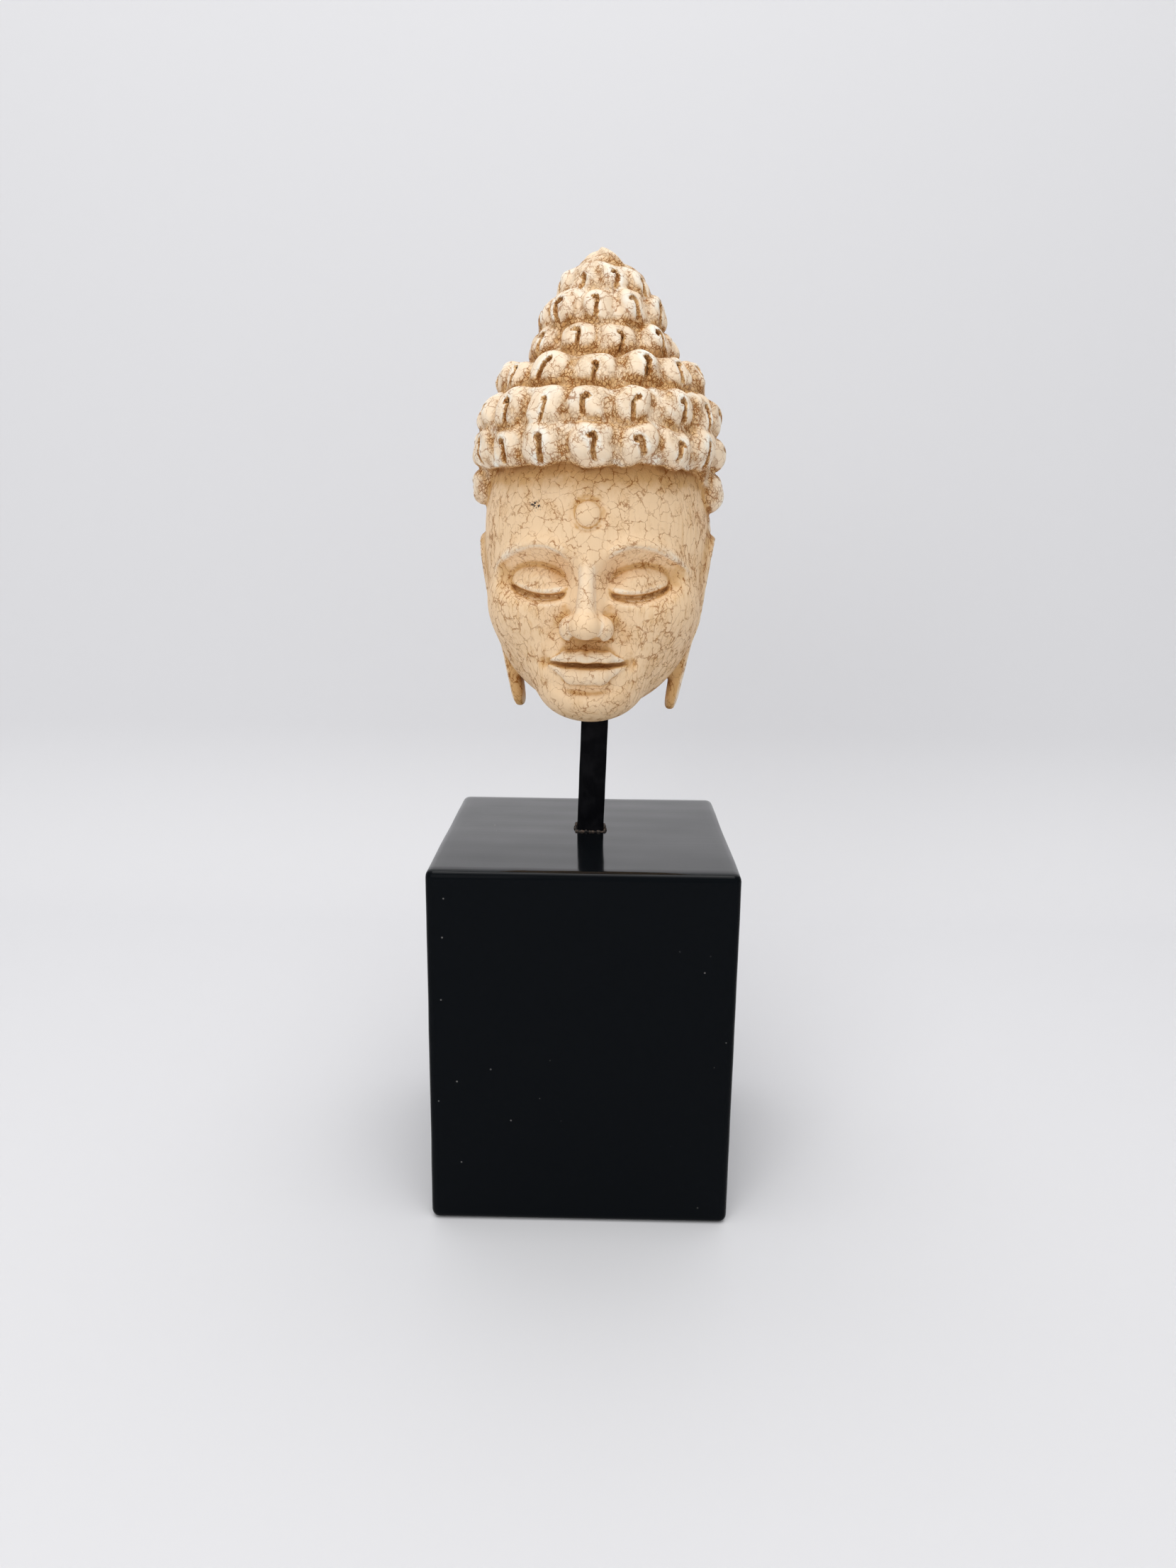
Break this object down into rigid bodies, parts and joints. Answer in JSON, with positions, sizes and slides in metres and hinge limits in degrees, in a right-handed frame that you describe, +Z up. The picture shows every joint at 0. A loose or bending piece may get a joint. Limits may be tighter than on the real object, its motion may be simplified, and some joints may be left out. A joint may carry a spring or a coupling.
{
  "type": "buddha head on a stand",
  "caption": "Carved Buddha head with rows of hooked curls and a pointed top knot, held on a square bar that stands in a tall square block.",
  "frame": {"origin": "middle of the block's underside, on the surface that the object stands on", "axes": "+Z up, -Y to the face's side, +X to the viewer's right"},
  "size_m": [0.1, 0.1, 0.3149],
  "materials": {
    "crackled_paint": "carved wood under ivory paint that has crackled, with a brown stain rubbed into the cracks and hollows, dull satin",
    "bar_paint": "black paint, satin, with faint brush marks",
    "black_lacquer": "thick glossy black lacquer over wood, with soft edges and small dust nibs"
  },
  "bodies": {
    "root": {"buddha_head": "crackled_paint", "mounting_bar": "bar_paint", "plinth_block": "black_lacquer"}
  },
  "joints": []
}
